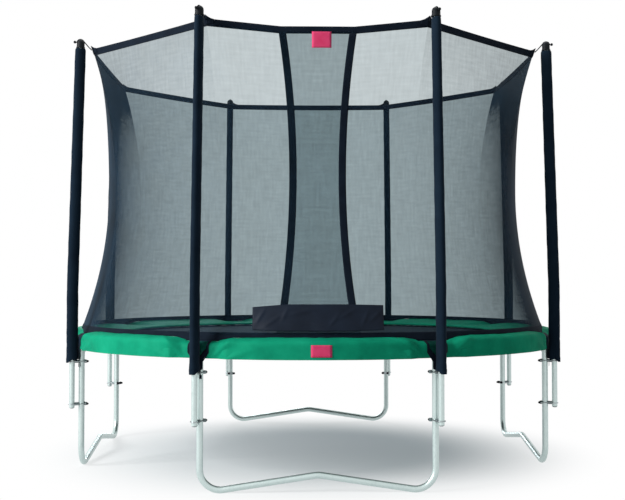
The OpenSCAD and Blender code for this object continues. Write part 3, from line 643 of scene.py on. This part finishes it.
def netRise(z):
    # height above the waist as a share of the way to the upper edge
    return (z - netShape["waistHeight"]) / (netShape["topHeight"] - netShape["waistHeight"])


def netRadius(z):
    s = netShape
    up = s["waistRadius"] + (s["topRadius"] - s["waistRadius"]) * netRise(z) ** 2
    down = s["waistRadius"] + (s["bottomRadius"] - s["waistRadius"]) * (
        (s["waistHeight"] - z) / (s["waistHeight"] - layout["padCrest"])) ** 2
    return np.where(z > s["waistHeight"], up, down)


def sideHalf(side):
    return layout["legHalfAngle"] if side % 2 == 0 else 45 - layout["legHalfAngle"]


def cornerReach(side, z):
    # half the distance between a side's two corners
    return netRadius(z) * math.sin(math.radians(sideHalf(side)))


def netPoint(side, u, z, out=0.0):
    # a point of a side, u from -1 to 1 between its corners: round up to the waist, flatter above it
    half = math.radians(sideHalf(side))
    r = netRadius(z)
    bow = np.where(z > netShape["waistHeight"], 1 - netRise(z) ** 2, 1.0)
    x = r * math.sin(half) * u
    y = -r * (math.cos(half) + (1 - math.cos(half)) * bow * (1 - u * u))
    grow = 1 + out / np.hypot(x, y)
    points = np.stack([x * grow, y * grow, z + 0 * x], -1)
    return turnZ(points.reshape(-1, 3), 45 * side).reshape(points.shape)


def lowEdge(side, u):
    # the bottom hem's lower edge, pressed a little into the pad and drawn down at the poles
    return layout["padCrest"] - netShape["padPress"] - layout["padPull"] * pullAt(
        math.radians(sideHalf(side)) * (1 - np.abs(u)) * layout["ringRadius"])


def lowHemTop():
    # the bottom hem's upper edge stays level where its lower edge is drawn down
    return layout["padCrest"] + netShape["lowHemRise"] + netShape["lowHem"]


def highEdge(side, u):
    gate = netShape["gateTop"] / (netShape["topRadius"] * math.sin(math.radians(sideHalf(0))))
    if side == 0:
        return netShape["topHeight"] - netShape["hemDip"] * np.minimum(1, (1 - np.abs(u)) / (1 - gate))
    return netShape["topHeight"] - netShape["sag"] * (1 - u * u)


def gateHalf(z):
    # half the distance between the middles of the two entrance bands
    return netShape["gateWaist"] + (netShape["gateTop"] - netShape["gateWaist"]) * netRise(z) ** 2


def makeSheet(name, side, u, top, node, out=0.0):
    # a net sheet sewn to both hems; the widest part of its cut is the arc along the lower hem
    low = lowHemTop() - netShape["hemLap"]
    z = low + (top - low) * np.linspace(0, 1, netShape["rows"] + 1)[:, None]
    parts = [gridPart(netPoint(side, u + 0 * z, z, out))]
    made = makePiece(name, parts, "net", [node])


def makeEntrancePanel(name, way, out, node, shape):
    # from the corner on one side across to the far band
    w = np.linspace(0, 1, shape["columns"] + 1)[None, :]
    z = np.linspace(*shape["gateSpan"], shape["rows"] + 1)[:, None]
    edge = (gateHalf(z) + shape["bandWidth"] / 2) / cornerReach(0, z)
    u = way * (1 - (1 + edge) * w)
    out = out * ramped(1 - np.abs(u), 0.0, shape["panelBlend"])
    makeSheet(name, 0, u, highEdge(0, u) - shape["hemHeight"] + shape["hemLap"], node, out)


for side in range(1, 8):
    u = np.linspace(-1, 1, netShape["columns"] + 1)[None, :]
    makeSheet(f"netPanel_{side}", side, u, highEdge(side, u) - netShape["hemLap"], f"net_panel_{side}")
makeEntrancePanel("entrancePanelLeft", -1, netShape["panelGap"], "entrance_panel_left", netShape)
makeEntrancePanel("entrancePanelRight", 1, -netShape["panelGap"], "entrance_panel_right", netShape)


def makeHem(name, low, high, node, count):
    # woven hem round all eight sides, between a lower and an upper edge
    rows = []
    for side in range(8):
        for u in np.linspace(-1, 1, count, endpoint=False):
            rows.append(netPoint(side, np.full(7, u), np.linspace(low(side, u), high(side, u), 7)))
    parts = [strapPart(rows, netShape["hemThickness"], wrapAlong=True)]
    makePiece(name, parts, "webbing", [node])


makeHem("netTopHem", lambda side, u: highEdge(side, u) - netShape["hemHeight"], highEdge, "net_top_hem", 24)
makeHem("netBottomHem", lowEdge, lambda side, u: lowHemTop(), "net_bottom_hem", 60)


def makeBand(side, out, shape):
    # woven elastic band on the outside of a panel's free edge
    rows = []
    top = shape["topHeight"] - shape["hemDip"] - shape["hemHeight"] + shape["bandLap"]
    for z in np.linspace(shape["bandBottom"], top, 60):
        x = side * gateHalf(z) + np.linspace(-0.5, 0.5, 7) * shape["bandWidth"]
        rows.append(netPoint(0, x / cornerReach(0, z), np.full(7, z), out))
    return strapPart(rows, shape["bandThickness"])


bands = [makeBand(1, netShape["bandGap"], netShape), makeBand(-1, -netShape["innerBandGap"], netShape)]
makePiece("entranceBands", bands, "webbing", ["entrance_bands"])
print("net made")


# elastics over the pole caps
elasticShape = {
    "diameter": 0.0066, "domeRise": 0.016, "wrapRadius": 0.02536, "ballAway": (0.03736, 0.004),
    "ballRadius": 0.009, "corner": (0.0038, -0.008),  # from the net's upper edge
}


def makeElastics(shape):
    lean = math.radians(layout["lean"])
    dome = (poleAt(layout["poleTop"]) - shape["domeRise"] * math.sin(lean),
            layout["poleTop"] + shape["domeRise"] * math.cos(lean))
    ball = (dome[0] + shape["ballAway"][0], dome[1] + shape["ballAway"][1])
    corner = (netShape["topRadius"] + shape["corner"][0], netShape["topHeight"] + shape["corner"][1])
    line = [(ball[0] - 0.0003, ball[1]), (ball[0] - shape["ballRadius"] - 0.004, ball[1])]
    line += [(dome[0] + shape["wrapRadius"] * math.cos(a), dome[1] + shape["wrapRadius"] * math.sin(a))
             for a in np.radians(range(25, 156, 26))]
    line += [((dome[0] - shape["wrapRadius"] + corner[0]) / 2 - 0.002, (dome[1] + corner[1]) / 2), corner]
    flat = smoothLine(line, 36)
    path = np.stack([0 * flat[:, 0], -flat[:, 0], flat[:, 1]], 1)
    tube = tubePart(path, shape["diameter"] / 2, 10)
    parts = [turnPart(tube, angle) for angle in poleAngles]
    makePiece("capElastics", parts, "elastic", ["cap_elastics"])


makeElastics(elasticShape)


def makeCornerTabs():
    # webbing gusset on each top corner of the net, drawn up by the elastic that is sewn to it
    values = {"long": 0.046, "rise": 0.020, "risePower": 1.8, "lap": 0.001, "low": 2.652, "slope": 0.012,
              "thickness": 0.002, "out": 0.0033}
    parts = []
    for side in range(8):
        reach = cornerReach(side, netShape["topHeight"])
        for way in (-1, 1):
            rows = []
            for t in np.linspace(0, 1, 7):
                top = highEdge(side, way * (1 - values["long"] * t / reach))
                top += values["rise"] * (1 - t) ** values["risePower"] + values["lap"]
                z = np.linspace(values["low"] + values["slope"] * t, top, 6)
                u = way * (1 - values["long"] * t / cornerReach(side, z))
                rows.append(netPoint(side, u, z, values["out"]))
            parts.append(strapPart(rows, values["thickness"]))
    makePiece("netCornerTabs", parts, "webbing")


makeCornerTabs()
print("elastics made")


# yokes that hold the pad and the net down at each pole
yokeShape = {
    "thickness": 0.0012, "gap": 0.0010, "outer": 0.068, "armWidth": 0.017, "armEnd": 0.786, "fork": 0.768,
    "forkHalf": 0.012, "strapHalf": 0.031, "strapTop": 0.735, "strapEnd": 0.696, "tailTop": 0.688,
    "tail": (0.013, 0.0185), "tipTop": 0.662, "tip": (0.010, 0.0255), "tipEnd": 0.640,
    "lap": 0.006, "meshLap": 0.004, "overPad": 1.64,  # overPad: radius inside which the arms always run
}


def yokeLine(shape, gap):
    # radius and height down the pulled-in pad, from under the net's hem to the clamp
    face, crest = layout["skirtFace"] + gap, layout["padCrest"] - layout["padPull"] + gap
    return smoothLine([(face - 0.066, crest), (face - 0.040, crest - 0.0022), (face - 0.023, crest - 0.0085),
                       (face - 0.0045, crest - 0.0215), (face, crest - 0.041), (face, 0.785),
                       (face, shape["tailTop"])], 60)


def yokeEdges(shape, z):
    # half widths of a yoke's outer edge and of the opening between its arms
    outer = np.interp(z, [shape["tailTop"], shape["strapEnd"], shape["strapTop"], shape["armEnd"]],
                      [shape["tail"][1], shape["strapHalf"], shape["strapHalf"], shape["outer"]])
    inner = np.interp(z, [shape["fork"], shape["fork"] + 0.044],
                      [shape["forkHalf"], shape["outer"] - shape["armWidth"]])
    return outer, inner


def yokeRow(r, z, low, high, count):
    return [(t, -math.sqrt(r * r - t * t), z) for t in np.linspace(low, high, count)]


def makeYoke(index, shape):
    parts = []

    def patch(rows):
        parts.append(turnPart(strapPart(rows, shape["thickness"]), poleAngles[index]))

    line = yokeLine(shape, shape["gap"])
    for way in (-1, 1):
        rows = []
        for r, z in line:
            if z > shape["fork"] - 0.002 or r < shape["overPad"]:
                outer, inner = yokeEdges(shape, z)
                rows.append([(way * x, y, h) for x, y, h in yokeRow(r, z, inner, outer, 6)])
        patch(rows)
    patch([yokeRow(r, z, -yokeEdges(shape, z)[0], yokeEdges(shape, z)[0], 11)
           for r, z in line if z < shape["fork"] + 0.003 and r > shape["overPad"]])
    face = line[-1][0]
    tailHeights = np.linspace(shape["tailTop"] + shape["lap"], shape["tipTop"], 7)
    patch([yokeRow(face, z, *shape["tail"], 4) for z in tailHeights])
    patch([yokeRow(face, z, *shape["tip"], 4) for z in np.linspace(shape["tipTop"], shape["tipEnd"], 5)])
    makePiece(f"padYoke_{index + 1}", parts, "webbing", ["pad_yokes"])


def makeYokeMesh(index, shape):
    # corner of the net that the yoke draws down over the pad, between its two arms
    rows = []
    for r, z in yokeLine(shape, shape["gap"] + 0.0004):
        if z > shape["fork"] or r < shape["overPad"]:
            inner = yokeEdges(shape, z)[1] + shape["meshLap"]
            rows.append(yokeRow(r, z, -inner, inner, 13))
    parts = [turnPart(gridPart(rows), poleAngles[index])]
    made = makePiece(f"netCorner_{index + 1}", parts, "net")


for index in range(8):
    makeYoke(index, yokeShape)
for index in range(8):
    makeYokeMesh(index, yokeShape)
print("yokes made")


# jumping mat, its webbing loops and the springs
matShape = {
    "radius": 1.379, "hemWidth": 0.042, "thickness": 0.0024, "hemRise": (0.004, 0.0046, 0.0034),
    "steps": 288, "count": 72,
    "loopWidth": 0.020, "loopThickness": 0.0016, "loopEnd": 1.3875,
    # radius and height of a loop's upper half
    "loop": ((1.340, 0.0058), (1.360, 0.0060), (1.376, 0.0056), (1.3855, 0.0038)),
}


def makeMat(shape):
    hemStart = shape["radius"] - shape["hemWidth"]
    radii = [0.002] + list(np.linspace(0.15, hemStart, 14))
    radii += [hemStart + 0.001, shape["radius"] - shape["hemWidth"] * 0.5, shape["radius"] - 0.001]
    top = [shape["thickness"] / 2] * 15 + list(shape["hemRise"])
    section = list(zip(radii, top))
    section += [(r, -h) for r, h in section[::-1]]
    turn = np.radians(np.linspace(0, 360, shape["steps"], endpoint=False))
    height = layout["springHeight"]
    rings = [np.stack([r * np.sin(turn), -r * np.cos(turn), np.full_like(turn, height + h)], 1)
             for r, h in section]
    points, faces, _ = gridPart(rings, wrapAcross=True)
    uvs = [[points[k][:2] for k in face] for face in faces]
    return makePiece("jumpingMat", [(points, faces, uvs)], "mat", ["mat"], "mat", 60)


mat = makeMat(matShape)


def makeMatLoops(shape):
    # webbing loop round each steel ring, sewn on the mat's edge
    upper = list(shape["loop"])
    line = smoothLine(upper + [(shape["loopEnd"], 0.0)] + [(r, -h) for r, h in upper[::-1]], 22)
    half = shape["loopWidth"] / 2
    rows = [[(t, -r, layout["springHeight"] + h) for t in np.linspace(-half, half, 4)] for r, h in line]
    loop = strapPart(rows, shape["loopThickness"])
    parts = [turnPart(loop, 360 / shape["count"] * (k + 0.5)) for k in range(shape["count"])]
    return makePiece("matLoops", parts, "webbing", body="mat")


matLoops = makeMatLoops(matShape)

springShape = {
    "wire": 0.0034, "coil": 0.0186, "turns": 30, "turnSteps": 9, "innerHook": 1.394, "outerHook": 1.614,
    "hook": 0.0065, "hookGap": 0.003, "taper": 1.6, "outerEnd": 1.605, "innerEnd": 1.403,
}


def makeSprings(shape):
    height = layout["springHeight"]

    def hook(radius, sweep, count):
        return [(0, -(radius + shape["hook"] * math.cos(a)), height + shape["hook"] * math.sin(a))
                for a in np.radians(np.linspace(*sweep, count))]

    path = hook(shape["outerHook"], (-50, 180), 12)  # down into the ring
    start = shape["outerHook"] - shape["hook"] - shape["hookGap"]
    end = shape["innerHook"] + shape["hook"] + shape["hookGap"]
    steps = shape["turns"] * shape["turnSteps"]
    for i in range(steps + 1):
        t = i / steps
        grow = min(1, t * shape["turns"] * shape["taper"], (1 - t) * shape["turns"] * shape["taper"])
        a = 2 * math.pi * t * shape["turns"] + math.pi / 2
        r = shape["coil"] / 2 * grow
        path.append((r * math.cos(a), -(start + (end - start) * t), height + r * math.sin(a)))
    path += hook(shape["innerHook"], (0, 290), 15)
    tube = tubePart(path, shape["wire"] / 2, 5)
    for k in range(matShape["count"]):
        angle = 360 / matShape["count"] * (k + 0.5)
        spring = joinParts(f"spring_{k + 1}", [turnPart(tube, angle)])
        spring.data.materials.append(finishes["zinc"])
        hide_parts("springs")
        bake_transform(spring)


makeSprings(springShape)
print("mat and springs made")


# entrance flap
flapShape = {
    "width": 0.736, "top": 1.056, "bottom": 0.909, "end": 0.190, "drops": (0.016, 0.005), "rise": 0.006,
    "swing": 0.006, "gap": 0.01115, "thickness": 0.0022, "waves": (0.003, 0.0016), "waveTurn": 1150,
    "foldDepth": 0.0042, "foldWidth": 0.010,
    # place along the flap, height above its lower edge, slope in degrees and half length
    "folds": [(-0.325, 0.075, 58, 0.050), (-0.260, 0.050, 34, 0.070), (-0.185, 0.092, 63, 0.038),
              (-0.095, 0.104, 12, 0.080), (0.015, 0.030, -16, 0.090), (0.090, 0.062, 52, 0.050),
              (0.165, 0.096, 28, 0.060), (0.205, 0.030, -27, 0.055), (0.262, 0.066, 66, 0.050),
              (0.326, 0.082, 41, 0.052)],
}


def flapFolds(x, z, shape):
    # soft creases, each a ridge that dies out towards both its ends
    total = 0
    for middle, rise, slope, long in shape["folds"]:
        a = math.radians(slope)
        along = (x - middle) * math.cos(a) + (z - rise) * math.sin(a)
        off = (z - rise) * math.cos(a) - (x - middle) * math.sin(a)
        total = total + np.exp(-(along / long) ** 2 - (off / shape["foldWidth"]) ** 2)
    return shape["foldDepth"] * total


def makeFlap(shape):
    x = np.linspace(-0.5, 0.5, 121) * shape["width"]
    fade = np.maximum(0, np.abs(x) - (shape["width"] / 2 - shape["end"])) / shape["end"]
    top = shape["top"] - np.where(x < 0, *shape["drops"]) * fade
    bottom = shape["bottom"] + shape["rise"] * fade ** 2
    rows = []
    for v in np.linspace(0, 1, 25):
        z = bottom + (top - bottom) * v
        base = netPoint(0, x / cornerReach(0, z), z)
        turn = shape["waveTurn"] * x
        waves = (1 - v) * (shape["waves"][0] * np.sin(np.radians(turn))
                           + shape["waves"][1] * np.sin(np.radians(2 * turn + 140 * v)))
        folds = flapFolds(x, z - bottom, shape) * math.sin(math.pi * v) ** 0.5
        y = base[:, 1] - waves - shape["swing"] * (1 - v) - folds - shape["gap"]
        rows.append(np.stack([x, y, z], 1))
    parts = [strapPart(rows, shape["thickness"])]
    return makePiece("entranceFlap", parts, "flap", ["entrance_flap"], "flap")


flap = makeFlap(flapShape)


# red patches, left bare
patchShape = {
    "thickness": 0.0016, "netHeights": (2.523, 2.616), "netSides": (-0.033, 0.079), "netOut": 0.0066,
    "padHeights": (0.770, 0.837), "padSides": (-0.043, 0.072), "padRadius": 1.68, "padOut": 0.0022,
    "padTuck": 0.0004, "tuckFrom": 0.832,  # height where the skirt begins to turn in
}


def makePatches(shape):
    onNet, onPad = [], []
    for z in np.linspace(*shape["netHeights"], 9):
        x = np.linspace(*shape["netSides"], 9)
        onNet.append(netPoint(0, x / cornerReach(0, z), np.full(9, z), shape["netOut"]))
    for z in np.linspace(*shape["padHeights"], 9):
        angle = np.linspace(*shape["padSides"], 9) / shape["padRadius"]
        tuck = 0.0 if z < shape["tuckFrom"] else -shape["padTuck"]
        face = layout["skirtFace"] + padShape["flare"] + shape["padOut"] + tuck
        onPad.append(np.stack([face * np.sin(angle), -face * np.cos(angle), np.full(9, z)], 1))
    for name, rows in (("netPatch", onNet), ("padPatch", onPad)):
        makePiece(name, [strapPart(rows, shape["thickness"])], "patch")


makePatches(patchShape)
print("flap and patches made")


# floor, world and lamps
def whiteRays(tree):
    # 1 for the rays that see the plain white surroundings, 0 for those that only carry light
    light = addNode(tree, "LightPath").outputs
    seen = addMath(tree, "MAXIMUM", light["Is Camera Ray"], light["Is Glossy Ray"])
    return addMath(tree, "MAXIMUM", seen, light["Is Transmission Ray"])


def makeFloor():
    # painted studio floor: it keeps the shadow near the object and runs out to white further off
    values = {"size": 120, "colour": "#b9bcbc", "seen": "#fbfcfc", "glow": "#dceaf0", "glowShare": 0.25,
              "fade": (0.72, 2.05)}
    bpy.ops.mesh.primitive_plane_add(size=values["size"])
    floor = bpy.context.object
    floor.name = "floor"
    material, tree, shader, place = startMaterial("paintedStudioFloor", {
        "Roughness": 0.9, "Specular IOR Level": 0.05})
    seen = whiteRays(tree)
    tint = addNode(tree, "Mix", {"data_type": "RGBA", 6: linearColour(values["colour"]),
                                           7: linearColour(values["seen"])}, {0: seen})
    feedShader(tree, shader, {"Base Color": tint.outputs[2]})
    glow = addNode(tree, "Emission", {"Color": linearColour(values["glow"]), "Strength": 1.0})
    white = addNode(tree, "Emission", {"Color": (1, 1, 1, 1), "Strength": 1.0})
    near = addNode(tree, "MixShader", None, {
        0: addMath(tree, "MULTIPLY", seen, values["glowShare"]), 1: shader.outputs[0], 2: glow.outputs[0]})
    reach = addNode(tree, "VectorMath", {"operation": "LENGTH"}, {0: place["Object"]})
    start, end = values["fade"]
    fade = addNode(tree, "MapRange", {"interpolation_type": "SMOOTHSTEP", "From Min": start, "From Max": end},
                   {"Value": reach.outputs["Value"]})
    amount = addMath(tree, "MULTIPLY", fade.outputs["Result"], seen)
    setSurface(tree, addNode(tree, "MixShader", None,
                             {0: amount, 1: near.outputs[0], 2: white.outputs[0]}))
    floor.data.materials.append(material)


def makeWorld():
    values = {"colour": "#dfeaf0", "strength": 0.3}
    world = bpy.data.worlds.new("studio")
    scene.world = world
    world.use_nodes = True
    tree = world.node_tree
    back = tree.nodes["Background"]
    back.inputs["Color"].default_value = linearColour(values["colour"])
    back.inputs["Strength"].default_value = values["strength"]
    white = addNode(tree, "Background", {"Color": (1, 1, 1, 1), "Strength": 1.0})
    mix = addNode(tree, "MixShader", None,
                  {0: whiteRays(tree), 1: back.outputs[0], 2: white.outputs[0]})
    tree.links.new(mix.outputs[0], tree.nodes["World Output"].inputs["Surface"])


lamps = [  # name, place, size, watts, colour
    ("keyLamp", (-8.0, -4.8, 5.0), 4.0, 960, "#ffffff"),
    ("topLamp", (0.3, 0.8, 8.5), 5.0, 230, "#ffffff"),
    ("backLamp", (-2.0, 10.0, 3.5), 3.0, 270, "#f4f8ff"),
]
lampTarget = (0, 0, 1.3)


def addLamp(name, place, size, power, colour):
    data = bpy.data.lights.new(name, "AREA")
    data.size = size
    data.energy = power
    data.color = linearColour(colour)[:3]
    lamp = bpy.data.objects.new(name, data)
    lamp.location = place
    x, y, z = np.subtract(lampTarget, place)
    lamp.rotation_euler = (math.atan2(math.hypot(x, y), -z), 0, math.atan2(x, -y) + math.pi)
    scene.collection.objects.link(lamp)


makeFloor()
makeWorld()
for lamp in lamps:
    addLamp(*lamp)
print("stage and lamps made")
